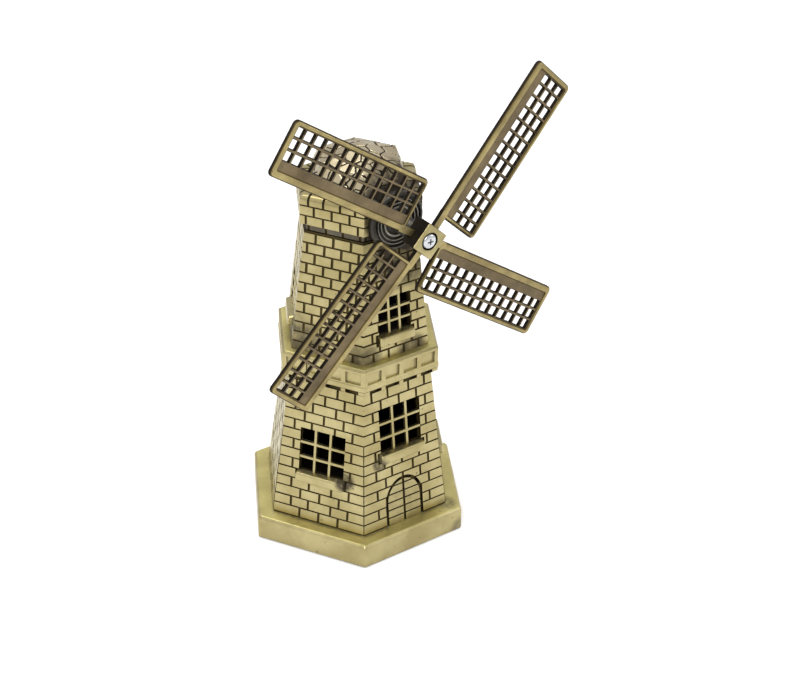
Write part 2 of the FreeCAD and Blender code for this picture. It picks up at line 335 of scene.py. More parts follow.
def wall_ring(storey, facing, along, profile):
    """A (proud, height) profile set across a wall."""
    return [on_wall(storey, facing, along, height, proud) for proud, height in profile]


def corner_ring(storey, facing, profile):
    """A (proud, height) profile set across the corner at the right end of a wall."""
    return [on_corner(storey, facing + 30, height, proud) for proud, height in profile]


def add_block(mesh, storey, patch, back, front):
    """Block over a patch of wall, between two depths measured outwards from the wall's face."""
    profile = [(back, patch.low), (front, patch.low), (front, patch.high), (back, patch.high)]
    add_loft(mesh, [wall_ring(storey, patch.facing, x, profile) for x in (patch.left, patch.right)])


def brick_profile(low, high):
    """Cross-section of a brick, with its back sunk in the wall and its face a little out of line."""
    proud = random.uniform(-0.06, 0.02) * MM
    back = -RELIEF - BRICK_KEY
    return [(back, low), (proud, low), (proud, high), (back, high)]


def add_course(mesh, storey, low, high, joints, profile_of=brick_profile):
    """One course of bricks all round a storey, wrapping each corner."""
    gap = UPRIGHT_JOINT / 2
    low += BED_JOINT / 2
    high -= BED_JOINT / 2
    stray = 0.08
    walls = [[(x + random.uniform(-stray, stray)) * MM for x in joints] for _ in FACINGS]
    for k, facing in enumerate(FACINGS):
        for left, right in zip(walls[k], walls[k][1:]):
            profile = profile_of(low, high)
            add_loft(mesh, [wall_ring(storey, facing, x, profile) for x in (left + gap, right - gap)])
        profile = profile_of(low, high)
        ends = (walls[k][-1] + gap, walls[(k + 1) % 6][0] - gap)
        add_loft(mesh, [
            wall_ring(storey, facing, ends[0], profile),
            corner_ring(storey, facing, profile),
            wall_ring(storey, facing + 60, ends[1], profile),
        ])


# ---- materials

def add_node(tree, kind, **settings):
    """New shader node; settings name its properties, or its inputs by their label."""
    node = tree.nodes.new("ShaderNode" + kind)
    for key, value in settings.items():
        if hasattr(node, key):
            setattr(node, key, value)
        else:
            node.inputs[key.replace("_", " ").title()].default_value = value
    return node


def new_material(name, **settings):
    """New material made of one principled shader, as (material, tree, shader)."""
    material = bpy.data.materials.new(name)
    material.use_nodes = True
    tree = material.node_tree
    tree.nodes.clear()
    shader = add_node(tree, "BsdfPrincipled", **settings)
    output = add_node(tree, "OutputMaterial")
    tree.links.new(shader.outputs["BSDF"], output.inputs["Surface"])
    return material, tree, shader


def add_bumps(tree, shader, height, strength, distance):
    """Roughens a shader's surface by a height map."""
    bumps = add_node(tree, "Bump", strength=strength, distance=distance)
    tree.links.new(height, bumps.inputs["Height"])
    tree.links.new(bumps.outputs["Normal"], shader.inputs["Normal"])


def noise(tree, place, scale, detail=3.0, roughness=0.55):
    """Noise over the object's own coordinates, with scale in features per metre."""
    node = add_node(tree, "TexNoise", scale=scale, detail=detail, roughness=roughness)
    tree.links.new(place.outputs["Object"], node.inputs["Vector"])
    return node.outputs["Fac"]


def ramp(tree, value, *stops):
    """Colour ramp through (position, grey or colour) stops."""
    node = add_node(tree, "ValToRGB")
    elements = node.color_ramp.elements
    while len(elements) < len(stops):
        elements.new(0.5)
    for element, (position, colour) in zip(elements, stops):
        element.position = position
        element.color = (*colour, 1) if isinstance(colour, tuple) else (colour, colour, colour, 1)
    tree.links.new(value, node.inputs["Fac"])
    return node.outputs["Color"]


def math_node(tree, operation, first, second):
    """Result of a maths operation on two sockets or numbers."""
    node = add_node(tree, "Math", operation=operation, use_clamp=True)
    for socket, value in zip(node.inputs, (first, second)):
        if isinstance(value, (int, float)):
            socket.default_value = value
        else:
            tree.links.new(value, socket)
    return node.outputs["Value"]


def blend_colours(tree, share, first, second):
    """Mix of two colours or sockets."""
    node = add_node(tree, "Mix", data_type="RGBA")
    tree.links.new(share, node.inputs["Factor"])
    for socket, value in zip((node.inputs[6], node.inputs[7]), (first, second)):
        if isinstance(value, tuple):
            socket.default_value = (*value, 1)
        else:
            tree.links.new(value, socket)
    return node.outputs[2]


def closed_in(tree, distance, closed, clear):
    """Share by which other surfaces crowd a place, from 1 at one openness to 0 at another."""
    openness = add_node(tree, "AmbientOcclusion", samples=6, distance=distance)
    return ramp(tree, openness.outputs["AO"], (closed, 1.0), (clear, 0.0))


def metal_colour(tree, place, bright, tarnish, shade):
    """Bright metal that is tarnished in patches, with painted shade that darkens it towards brown in its
    broad hollows.
    """
    patches = ramp(tree, noise(tree, place, 120, 4.0), (0.35, 0.0), (0.65, 1.0))
    metal = blend_colours(tree, patches, bright, tarnish)
    # Painted shade: broad hollows, broken up by a cloud of noise, are darkened by the share given as shade.
    hollow = closed_in(tree, 6 * MM, 0.35, 0.8)
    cloud = ramp(tree, noise(tree, place, 210, 3.0), (0.35, 0.25), (0.6, 1.0))
    painted_shade = math_node(tree, "MULTIPLY", math_node(tree, "MULTIPLY", hollow, cloud), shade)
    return blend_colours(tree, painted_shade, metal, tuple(0.22 * c for c in tarnish))


def dark_patch_mask(tree, place, patch_edge_noise, centre, reach, strength):
    """Darker patch round a point, its edge broken up by noise."""
    away = add_node(tree, "VectorMath", operation="DISTANCE")
    tree.links.new(place.outputs["Object"], away.inputs[0])
    away.inputs[1].default_value = centre
    share = math_node(tree, "DIVIDE", away.outputs["Value"], 2 * reach)
    near = ramp(tree, share, (0.3, 1.0), (0.6, 0.0))
    return ramp(tree, math_node(tree, "MULTIPLY", near, patch_edge_noise), (0.15, 0.0), (0.55, strength))


def dirt_mask(tree, place, crevice, film, dark_patches):
    """Share of dark patina in crevices, in a worn film over the surface and in pits, together with the darker
    patches given.
    """
    crevices = closed_in(tree, crevice, 0.25, 0.65)
    speckle = ramp(tree, noise(tree, place, 1400, 5.0, 0.7), (0.3, 0.55), (0.65, 1.0))
    rubbed = ramp(tree, noise(tree, place, 300, 5.0, 0.65), (0.35, 0.0), (0.75, 1.0))
    pits = ramp(tree, noise(tree, place, 750, 2.0), (0.7, 0.0), (0.76, 0.7))
    patch_edge_noise = noise(tree, place, 260, 4.0, 0.65)
    layers = [math_node(tree, "MULTIPLY", rubbed, film), pits]
    layers += [dark_patch_mask(tree, place, patch_edge_noise, *dark_patch) for dark_patch in dark_patches]
    dirt = math_node(tree, "MULTIPLY", crevices, speckle)
    for layer in layers:
        dirt = math_node(tree, "MAXIMUM", dirt, layer)
    return dirt


def antique_metal(name, bright, tarnish, patina, crevice=0.8 * MM, roughness=0.36, film=0.0, shade=0.7,
                  grain=0.25, dark_patches=()):
    """Cast metal, bright where it is rubbed, under a dark patina that gathers in its crevices, with painted
    shade in its broad hollows.
    """
    material, tree, shader = new_material(name)
    place = add_node(tree, "TexCoord")
    metal = metal_colour(tree, place, bright, tarnish, shade)
    dirt = dirt_mask(tree, place, crevice, film, dark_patches)
    rough = ramp(tree, noise(tree, place, 900, 4.0), (0.3, roughness - 0.06), (0.7, roughness + 0.08))
    add_bumps(tree, shader, noise(tree, place, 2600, 4.0, 0.6), grain, 0.06 * MM)
    tree.links.new(blend_colours(tree, dirt, metal, patina), shader.inputs["Base Color"])
    tree.links.new(blend_colours(tree, dirt, rough, (0.7, 0.7, 0.7)), shader.inputs["Roughness"])
    tree.links.new(ramp(tree, dirt, (0.0, 1.0), (1.0, 0.45)), shader.inputs["Metallic"])
    return material


# Darker patches painted round given points, as (centre, reach, strength).
BOSS_DARK_PATCH = (on_wall(UPPER, -90, 4 * MM, AXIS.z + 4 * MM, 0), 12.5 * MM, 1.0)
FOOT_DARK_PATCHES = (
    (on_wall(UPPER, -90, 3 * MM, UPPER.top - 6 * MM, 0), 9.5 * MM, 1.0),
    (on_corner(UPPER, -120, UPPER.bottom, 0), 6.5 * MM, 0.8),
    (on_wall(UPPER, -90, 5 * MM, UPPER.bottom, 0), 5 * MM, 0.8),
    (on_corner(UPPER, 180, UPPER.bottom, 0), 11 * MM, 0.8),
)
PLINTH_DARK_PATCHES = (
    (Vector((PLINTH_HIGH.x / 2, PLINTH_LOW.y, PLINTH_LOW.z)), 4.5 * MM, 0.5),
    (on_corner(LOWER, -60, LOWER.bottom, 0), 3.5 * MM, 0.7),
)
SIDE_SILL, DOOR_SILL = patch_of("lower_sill_left"), patch_of("lower_sill_front")
SILL_DARK_PATCHES = (
    (on_wall(LOWER, SIDE_SILL.facing, SIDE_SILL.right, SIDE_SILL.high, 0), 3.2 * MM, 0.9),
    (on_wall(LOWER, DOOR_SILL.facing, DOOR_SILL.left, DOOR_SILL.low, 0), 2.6 * MM, 1.0),
)
GOLD, OCHRE, UMBER = (0.44, 0.38, 0.195), (0.33, 0.275, 0.125), (0.035, 0.025, 0.014)
BRASS = antique_metal("antique_brass", GOLD, OCHRE, UMBER, shade=0.35, dark_patches=SILL_DARK_PATCHES)
UPPER_BRASS = antique_metal(
    "upper_storey_brass", GOLD, OCHRE, UMBER, shade=0.35, dark_patches=(BOSS_DARK_PATCH,) + FOOT_DARK_PATCHES)
PLINTH_BRASS = antique_metal("plinth_brass", GOLD, OCHRE, UMBER, shade=0.2, dark_patches=PLINTH_DARK_PATCHES)
# Lighter brass for faces that look up, on the plinth and the gallery: a painted highlight.
LIT_LEDGE_BRASS = antique_metal(
    "ledge_brass_painted_highlight", (0.6, 0.53, 0.23), (0.47, 0.41, 0.17), UMBER,
    roughness=0.5, shade=0.1, dark_patches=PLINTH_DARK_PATCHES)
MOTTLED_BRASS = antique_metal("mottled_brass", GOLD, OCHRE, UMBER, film=0.35)
PALE_BRASS = antique_metal(
    "pale_dome_brass", (0.55, 0.475, 0.32), (0.42, 0.35, 0.22), UMBER, shade=0.3, dark_patches=(BOSS_DARK_PATCH,))
# Dark brass for the recessed neck course: its patina together with painted shade under the cap's overhang.
NECK_SHADE_BRASS = antique_metal(
    "neck_course_patina_and_shade", (0.13, 0.115, 0.085), (0.09, 0.075, 0.05), (0.02, 0.016, 0.012), film=0.3)
SAIL_BRASS = antique_metal(
    "rubbed_sail_brass", (0.4, 0.325, 0.145), (0.25, 0.195, 0.086), (0.03, 0.022, 0.012),
    roughness=0.4, film=0.35)
BROWNED = antique_metal(
    "browned_brass", (0.2, 0.152, 0.086), (0.125, 0.094, 0.052), (0.015, 0.012, 0.008),
    roughness=0.45, film=0.3, grain=0.35)
MORTAR = antique_metal(
    "mortar_patina", (0.105, 0.076, 0.024), (0.06, 0.043, 0.015), (0.016, 0.011, 0.005),
    crevice=1.0 * MM, roughness=0.55, film=0.4, grain=0.5)
# Near-black patina of hollows and insides, also used as painted shade on faces that look down and on the
# hub's sides.
DARK = antique_metal(
    "black_patina_and_shade", (0.026, 0.02, 0.012), (0.015, 0.011, 0.007), (0.006, 0.005, 0.003),
    roughness=0.6, film=0.4, grain=0.5)
BLACKENED = antique_metal(
    "blackened_brass", (0.085, 0.078, 0.066), (0.05, 0.046, 0.039), (0.008, 0.007, 0.007),
    roughness=0.42, film=0.5, grain=0.3)
WORN = antique_metal(
    "worn_ring_crests", (0.5, 0.47, 0.4), (0.26, 0.24, 0.2), (0.02, 0.019, 0.016),
    roughness=0.32, film=0.45, grain=0.3)
PLATED = antique_metal(
    "plated_steel", (0.62, 0.63, 0.65), (0.48, 0.49, 0.51), (0.05, 0.05, 0.055),
    crevice=0.5 * MM, roughness=0.24, film=0.2, grain=0.15)


def felt_material():
    """Short black felt."""
    material, tree, shader = new_material("black_felt", roughness=0.95)
    place = add_node(tree, "TexCoord")
    low, high = (0.012, 0.012, 0.013), (0.045, 0.045, 0.05)
    fibres = ramp(tree, noise(tree, place, 3000, 6.0, 0.7), (0.3, low), (0.7, high))
    tree.links.new(fibres, shader.inputs["Base Color"])
    add_bumps(tree, shader, noise(tree, place, 2200, 6.0, 0.75), 0.6, 0.15 * MM)
    return material


FELT = felt_material()


def paint(piece, materials, pick):
    """Gives each face of a piece the material that pick chooses by its index."""
    piece.data.materials.clear()
    for material in materials:
        piece.data.materials.append(material)
    for face in piece.data.polygons:
        face.material_index = int(pick(face))


# ---- tower walls

def proudness(storey, point):
    """How far a point stands out from the hexagonal face of a storey."""
    reach = max(point.dot(outward(facing)) for facing in FACINGS)
    return reach - radius_at(storey, point.z) * COS30


def grow(patch, margin):
    """A patch made larger all round."""
    left, right = patch.left - margin, patch.right + margin
    return Patch(patch.facing, left, right, patch.low - margin, patch.high + margin)


def door_outline(margin):
    """(along, height) points round the door: straight jambs under a raised arch."""
    door = patch_of("door")
    half = (door.right - door.left) / 2 + margin
    spring = door.high - (door.right - door.left) / 2
    rise = 1.15 * half
    steps = 24
    points = [(-half, door.low - margin), (half, door.low - margin)]
    for k in range(steps + 1):
        angle = math.pi * k / steps
        points.append((half * math.cos(angle), spring + rise * math.sin(angle)))
    return points


def add_door_shape(mesh, margin, back, front):
    """Door-shaped solid on the front wall between two depths."""
    rings = []
    for proud in (back, front):
        rings.append([on_wall(LOWER, -90, along, height, proud) for along, height in door_outline(margin)])
    add_loft(mesh, rings)


def add_seam(mesh, storey, angle, low, high):
    """Thin upright slot up a corner of the tower."""
    out, side = outward(angle), tangent(angle)
    half = 0.13 * MM
    section = ((-RELIEF, -half), (RELIEF, -half), (RELIEF, half), (-RELIEF, half))
    rings = []
    for height in (low, high):
        middle = on_corner(storey, angle, height, 0)
        rings.append([middle + out * o + side * s for o, s in section])
    add_loft(mesh, rings)


def wall_cutter(level, storey, with_door):
    """Solids to take out of a storey: its window openings, sills and door."""
    clear = 2 * MM
    cutter = bmesh.new()
    for node in GRILLES:
        if node.startswith(level):
            add_block(cutter, storey, patch_of(node), -2 * WALL, clear)
            sill = grow(patch_of(node.replace("grille", "sill")), 0.2 * MM)
            sill = sill._replace(left=sill.left - 0.3 * MM, right=sill.right + 0.3 * MM)
            add_block(cutter, storey, sill, -RELIEF, clear)
    if with_door:
        add_door_shape(cutter, 0.85 * MM, -0.6 * MM, clear)
    return cutter


def wall_core(level, storey, with_door):
    """A storey's hollow casting up to the bottom of its joints: mortar outside, dark inside."""
    shell = bmesh.new()
    profile = [
        (storey.bottom_radius - RELIEF, storey.bottom), (storey.top_radius - RELIEF, storey.top),
        (storey.top_radius - WALL, storey.top), (storey.bottom_radius - WALL, storey.bottom),
    ]
    add_frame(shell, [[hexagonal(reach, height, k) for k in range(6)] for reach, height in profile])
    core = to_object(f"{level}_tower_core", shell)
    carve(core, wall_cutter(level, storey, with_door))
    paint(core, (MORTAR, DARK), lambda face: proudness(storey, face.center) < -1.1 * MM)
    return core


def wall_bricks(level, storey, brickwork, material, with_door, seam_courses):
    """Bricks that stand out of a storey's core; its lowest seam_courses are parted at the corners."""
    courses = bmesh.new()
    for k in range(brickwork.count):
        low = brickwork.foot + k * brickwork.course
        add_course(courses, storey, low, low + brickwork.course, brickwork.bonds[k % 2])
    bricks = to_object(f"{level}_tower_bricks", courses)
    cutter = wall_cutter(level, storey, with_door)
    if seam_courses:
        seam_top = brickwork.foot + seam_courses * brickwork.course
        for k in range(6):
            add_seam(cutter, storey, 60 * k, storey.bottom, seam_top)
    carve(bricks, cutter)
    soften(bricks, BRICK_EDGE)
    paint(bricks, (material, MORTAR), lambda face: proudness(storey, face.center) < -0.16 * MM)
    return bricks


def brick_wall(level, storey, brickwork, material, with_door=False, seam_courses=0):
    """A storey of the tower."""
    core = wall_core(level, storey, with_door)
    bricks = wall_bricks(level, storey, brickwork, material, with_door, seam_courses)
    install(core, "tower", "antique_brass", MORTAR, f"{level}_tower")
    install(bricks, "tower", "antique_brass", material)


def glazing(storey, node):
    """Glazing bars of one window: two upright and two level bars across the opening."""
    patch = patch_of(node)
    bar = 0.75 * MM
    lap = 0.1 * MM
    panes = 3
    xs = [patch.left - lap]
    zs = [patch.low - lap]
    for k in range(1, panes):
        x = patch.left + (patch.right - patch.left) * k / panes
        z = patch.low + (patch.high - patch.low) * k / panes
        xs += [x - bar / 2, x + bar / 2]
        zs += [z - bar / 2, z + bar / 2]
    xs.append(patch.right + lap)
    zs.append(patch.high + lap)
    mesh = bmesh.new()
    add_cells(mesh, xs, [0.1 * MM, 1.1 * MM], zs, lambda i, j, k: i % 2 == 1 or k % 2 == 1)
    for v in mesh.verts:
        v.co = on_wall(storey, patch.facing, v.co.x, v.co.z, -v.co.y)
    bars = to_object(f"{node}_bars", mesh)
    soften(bars, 0.18 * MM)
    install(bars, "tower", "antique_brass", BRASS, node)


def window_sill(storey, node):
    """Sill with a rounded front and a top that sheds water."""
    patch = patch_of(node)
    back, front = -0.8 * MM, 1.35 * MM
    fall = 0.35 * MM
    profile = [(back, patch.low), (front, patch.low), (front, patch.high - fall), (back, patch.high)]
    mesh = bmesh.new()
    add_loft(mesh, [wall_ring(storey, patch.facing, x, profile) for x in (patch.left, patch.right)])
    sill = to_object(f"{node}_bar", mesh)
    soften(sill, 0.5 * MM, segments=4)
    install(sill, "tower", "antique_brass", BRASS, node)


def plank_door():
    """Two door leaves of level planks, set back in their arched recess."""
    mesh = bmesh.new()
    add_door_shape(mesh, 0, -1.2 * MM, -0.1 * MM)
    door = to_object("plank_door", mesh)
    patch = patch_of("door")
    half = 0.2 * MM
    middle_half = 1.7 * half
    plank, planks = 2.3 * MM, 6
    cuts = [Patch(-90, -middle_half, middle_half, patch.low - 1 * MM, patch.high + 1 * MM)]
    for k in range(1, planks):
        height = patch.low + k * plank
        cuts.append(Patch(-90, patch.left, patch.right, height - half, height + half))
    grooves = bmesh.new()
    for cut in cuts:
        add_block(grooves, LOWER, cut, -0.5 * MM, 1 * MM)
    carve(door, grooves)
    soften(door, 0.09 * MM)
    paint(door, (MOTTLED_BRASS, MORTAR), lambda face: proudness(LOWER, face.center) < -0.25 * MM)
    install(door, "tower", "antique_brass", MOTTLED_BRASS, "door")


def is_ledge(face):
    """Whether a face lies level and looks up."""
    return face.normal.z > 0.8


def is_floor(face, storey):
    """Whether a level face lies inside a storey's walls."""
    return abs(face.normal.z) > 0.9 and face.center.xy.length < (storey.bottom_radius - WALL) * 0.8


def off_the_walls(face):
    """Whether an upright face is turned away from the direction of every wall."""
    turned = math.degrees(math.atan2(face.normal.y, face.normal.x)) % 60
    return abs(face.normal.z) < 0.5 and abs(turned - 30) > 15


def gallery_ring():
    """Overhanging ring with a row of recessed panels along each side."""
    low, top, full = GALLERY.bottom, GALLERY.top, GALLERY.top_radius
    panel_foot = low + 2.0 * MM
    panel_height = 3.2 * MM
    panel_half = 2.1 * MM
    panel_depth = 0.75 * MM
    face = full - 0.2 * MM
    inside = LOWER.top_radius - 3 * MM
    under = low - 0.1 * MM
    floor_under = top - 1.8 * MM
    mesh = bmesh.new()
    add_hexagonal(mesh, [
        (0, top), (UPPER.bottom_radius - WALL, top), (full - 1.0 * MM, top), (face, top - 0.6 * MM),
        (face, panel_foot - 0.3 * MM), (full, panel_foot - 0.5 * MM), (full, low + 0.2 * MM),
        (full - 0.3 * MM, under), (inside, under), (inside, floor_under), (0, floor_under),
    ])
    ring = to_object("gallery_ring", mesh)
    panels = bmesh.new()
    for facing in FACINGS:
        for k in range(4):
            x = (k - 1.5) * GALLERY_PITCH
            patch = Patch(facing, x - panel_half, x + panel_half, panel_foot, panel_foot + panel_height)
            add_block(panels, GALLERY, patch, -panel_depth, 1 * MM)
    carve(ring, panels)
    soften(ring, 0.14 * MM)

    # Faces that look down are painted dark as painted shade; faces that look up take the lighter ledge brass
    # as a painted highlight; the floor inside and the panels' side walls take the dark patina.
    def tone(side):
        in_panel = -panel_depth + 0.05 * MM < proudness(GALLERY, side.center) < -0.25 * MM
        if side.normal.z < -0.4 or is_floor(side, UPPER) or (in_panel and off_the_walls(side)):
            return 2
        return is_ledge(side)

    paint(ring, (BRASS, LIT_LEDGE_BRASS, DARK), tone)
    install(ring, "tower", "antique_brass", BRASS, "gallery")


def gallery_corbels():
    """Wedge corbels under the gallery: three along each wall, and one round each corner."""
    low = GALLERY.bottom
    wall = upright_storey(low, GALLERY.top, LOWER.top_radius)
    half = 0.65 * MM
    end = LOWER.top_radius / 2 - half
    back = -1 * MM
    front = (GALLERY.top_radius - LOWER.top_radius) * COS30 - 0.2 * MM
    foot, nose, head = low - 2.1 * MM, low - 0.9 * MM, low + 0.3 * MM
    profile = [(back, foot), (0.4 * MM, foot), (front, nose), (front, head), (back, head)]
    mesh = bmesh.new()
    for facing in FACINGS:
        for x in (-GALLERY_PITCH, 0, GALLERY_PITCH):
            add_loft(mesh, [wall_ring(wall, facing, x + side * half, profile) for side in (-1, 1)])
        add_loft(mesh, [
            wall_ring(wall, facing, end, profile),
            corner_ring(wall, facing, profile),
            wall_ring(wall, facing + 60, -end, profile),
        ])
    corbels = to_object("gallery_corbels", mesh)
    soften(corbels, 0.15 * MM)
    paint(corbels, (BRASS, MORTAR), off_the_walls)
    install(corbels, "tower", "antique_brass", BRASS)


def coping_profile(low, high):
    """Cross-section of a coping stone: upright face, rounded shoulder and a flat top back to the dome."""
    back = (DOME_HIGH.x - CAP.top_radius) * COS30 - 0.1 * MM
    points = [(back, low), (0, low)]
    for angle in quarter_turn(5):
        proud = COPING_ROUND * (math.cos(angle) - 1)
        points.append((proud, high - COPING_ROUND * (1 - math.sin(angle))))
    points.append((back, high))
    return points


def cap_core():
    """Casting behind the bricks of the neck and the cap, up to the bottom of their joints."""
    step = CAP.bottom_radius - RELIEF
    neck = NECK.bottom_radius - RELIEF
    room = NECK.bottom_radius - WALL
    shoulder = CAP.bottom + 0.1 * MM
    top = CAP.top - RELIEF
    mesh = bmesh.new()
    add_hexagonal(mesh, [
        (0, top), (step - COPING_ROUND, top), (step, top - COPING_ROUND), (step, shoulder), (neck, shoulder),
        (neck, NECK.bottom), (room, NECK.bottom), (room, CAP.top - WALL), (0, CAP.top - WALL),
    ])
    core = to_object("cap_core", mesh)
    install(core, "tower", "antique_brass", MORTAR, "cap")


def cap_bricks():
    """Recessed neck course, and the cap's courses of brick under a rounded coping."""
    neck = bmesh.new()
    add_course(neck, NECK, NECK.bottom, NECK.top, UPPER_BONDS[0])
    neck = to_object("neck_bricks", neck)
    courses = bmesh.new()
    course = (CAP.top - CAP.bottom) / CAP_COURSES
    for k in range(CAP_COURSES - 1):
        low = CAP.bottom + k * course
        add_course(courses, CAP, low, low + course, UPPER_BONDS[k % 2])
    low = CAP.bottom + (CAP_COURSES - 1) * course
    add_course(courses, CAP, low, CAP.top + BED_JOINT / 2, COPING_BOND, coping_profile)
    # The neck course takes the dark neck brass: patina with painted shade under the cap.
    for piece, material in ((neck, NECK_SHADE_BRASS), (to_object("cap_bricks", courses), UPPER_BRASS)):
        soften(piece, BRICK_EDGE)
        install(piece, "tower", "antique_brass", material)


def shaft_housing():
    """Round-topped housing that runs from the dome to the back of the boss."""
    boss_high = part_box("shaft_boss")[1]
    reach = boss_high.x - 0.6 * MM
    ends = (8 * MM, CAP.bottom_radius * COS30)
    start = math.asin((CAP.bottom + 0.2 * MM - AXIS.z) / reach)
    steps = 32
    outline = []
    for k in range(steps + 1):
        angle = start + (math.pi - 2 * start) * k / steps
        outline.append((reach * math.cos(angle), AXIS.z + reach * math.sin(angle)))
    mesh = bmesh.new()
    add_loft(mesh, [[Vector((x, -depth, z)) for x, z in outline] for depth in ends])
    housing = to_object("shaft_housing", mesh)
    soften(housing, 0.3 * MM, segments=3)
    install(housing, "tower", "antique_brass", DARK)


def dome_skin():
    """Smooth faceted roof, meshed finely enough to carry its stones."""
    foot = DOME_HIGH.x
    rise = DOME_HIGH.z - DOME_LOW.z
    corners = [(foot, 0.0), (0.97 * foot, 0.29), (0.84 * foot, 0.73), (0.22 * foot, 1.0), (0.0, 1.0)]
    step = 0.2 * MM
    profile = [(0.0, DOME_LOW.z)]
    for (r0, s0), (r1, s1) in zip(corners, corners[1:]):
        count = max(1, round(math.hypot(r1 - r0, (s1 - s0) * rise) / step))
        for k in range(count):
            share = k / count
            profile.append((r0 + (r1 - r0) * share, DOME_LOW.z + (s0 + (s1 - s0) * share) * rise))
    profile.append((0.0, DOME_HIGH.z))
    per_side = 64

    def point(reach, height, k):
        start = hexagonal(reach, height, k // per_side)
        end = hexagonal(reach, height, k // per_side + 1)
        return start.lerp(end, (k % per_side) / per_side)

    mesh = bmesh.new()
    add_turning(mesh, profile, point, 6 * per_side)
    return to_object("dome_paving", mesh)


def scattered(places, spread):
    """Random choice of places that keep a distance from one another and stay off the dome's foot."""
    order = list(range(len(places)))
    random.shuffle(order)
    seeds = []
    for k in order:
        if places[k][2] > DOME_LOW.z and all(np.linalg.norm(places[k] - s) > spread for s in seeds):
            seeds.append(places[k])
    return np.array(seeds)


def dome():
    """Roof faced with irregular flat stones, each a little tilted, with the joints sunk between them."""
    joint_half, joint_depth, tilt = 0.26 * MM, 0.28 * MM, 0.03
    roof = dome_skin()
    places = np.array([v.co for v in roof.data.vertices])
    normals = np.array([v.normal for v in roof.data.vertices])
    seeds = scattered(places, 3.4 * MM)
    gaps = np.linalg.norm(places[:, None, :] - seeds[None, :, :], axis=2)
    stones = np.argsort(gaps, axis=1)[:, :2]
    own, next_one = stones[:, 0], stones[:, 1]
    rows = np.arange(len(places))
    apart = np.linalg.norm(seeds[own] - seeds[next_one], axis=1)
    from_joint = (gaps[rows, next_one] ** 2 - gaps[rows, own] ** 2) / (2 * apart)
    share = np.clip(from_joint / joint_half, 0, 1)
    sunk = joint_depth * (1 - share * share * (3 - 2 * share))
    slopes = np.array([[random.uniform(-tilt, tilt) for _ in range(3)] for _ in seeds])
    lean = np.einsum("ij,ij->i", places - seeds[own], slopes[own])
    above_foot = (places[:, 2] > DOME_LOW.z + 0.1 * MM)[:, None]
    moved = places + normals * (lean - sunk)[:, None] * above_foot
    for vertex, place in zip(roof.data.vertices, moved):
        vertex.co = place
    for face in roof.data.polygons:
        face.use_smooth = True
    deep = sunk > 0.2 * MM
    paint(roof, (PALE_BRASS, DARK), lambda face: any(deep[v] for v in face.vertices))
    install(roof, "tower", "antique_brass", PALE_BRASS, "dome")


def plinth():
    """Heavy hexagonal base with a softly bevelled top edge and a recess below for the felt."""
    low, high, full = PLINTH_LOW.z, PLINTH_HIGH.z, PLINTH_HIGH.x
    bevel = 0.7 * MM
    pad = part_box("felt_pad")[1]
    mesh = bmesh.new()
    add_hexagonal(mesh, [
        (0, high), (LOWER.bottom_radius - WALL, high), (full - bevel, high), (full, high - bevel),
        (full, low), (pad.x, low), (pad.x, pad.z), (0, pad.z),
    ])
    base = to_object("plinth_slab", mesh)
    soften(base, 0.3 * MM, segments=3)

    # Faces that look up take the lighter ledge brass as a painted highlight; the floor inside takes the dark
    # patina.
    def tone(face):
        return 2 if is_floor(face, LOWER) else is_ledge(face)

    paint(base, (PLINTH_BRASS, LIT_LEDGE_BRASS, DARK), tone)
    install(base, "tower", "antique_brass", PLINTH_BRASS, "base_plinth")


# ---- rotor

def shaft_boss():
    """Blackened disc with turned rings, and the nose that the rotor runs against."""
    low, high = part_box("shaft_boss")
    full, nose = high.x, -low.y
    wall = CAP.bottom_radius * COS30
    back, seat = wall - 3 * MM, wall - 0.05 * MM
    face = seat + 2.2 * MM
    dish = face - 0.55 * MM
    spigot, tip = 4 * MM, 2.5 * MM
    profile = [
        (0, back), (spigot, back), (spigot, seat), (full - 0.3 * MM, seat), (full, seat + 0.3 * MM),
        (full, face - 0.35 * MM), (full - 0.35 * MM, face), (6.9 * MM, face), (6.75 * MM, dish),
    ]
    rings = ((6.1, 0.22), (5.1, 0.22), (3.9, 0.35))
    crown = ((1.0, 0.0), (0.8, 0.35), (0.3, 0.5), (-0.3, 0.5), (-0.8, 0.35), (-1.0, 0.0))
    for middle, half in rings:
        profile += [((middle + half * share) * MM, dish + height * MM) for share, height in crown]
    profile += [
        (tip + 0.3 * MM, dish), (tip, face - 0.3 * MM), (tip, nose - 0.3 * MM), (tip - 0.3 * MM, nose),
        (0, nose),
    ]
    mesh = bmesh.new()
    add_turned(mesh, profile)
    boss = to_object("ringed_boss", mesh)
    for polygon in boss.data.polygons:
        polygon.use_smooth = True

    def on_crest(polygon):
        reach = (polygon.center - AXIS).xz.length
        return polygon.center.y < -dish - 0.2 * MM and 3 * MM < reach < 6.2 * MM

    paint(boss, (BLACKENED, WORN), on_crest)
    crisp = boss.modifiers.new("crisp", "EDGE_SPLIT")
    crisp.split_angle = math.radians(50)
    install(boss, "tower", "dark_brass", BLACKENED, "shaft_boss")


def sail_place(node):
    """Matrix from a sail's own axes to the row frame: X along it, Y to its back, Z to its leading edge."""
    mesh = frame["nodes"][node].data
    front = sum((f.normal * f.area for f in mesh.polygons if f.normal.y < -0.9), Vector()).normalized()
    low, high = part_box(node)
    sides = [f for f in mesh.polygons if abs(f.normal.y) < 0.01]
    across = max(sides, key=lambda f: f.area).normal.copy()
    if across.dot((low + high) / 2 - AXIS) > 0:
        across.negate()
    along = across.cross(front)
    reach = max(p.dot(front) for p in node_points(node))
    origin = Vector((0, (reach - front.z * AXIS.z) / front.y, AXIS.z))
    return Matrix.Translation(origin) @ Matrix((along, -front, across)).transposed().to_4x4()


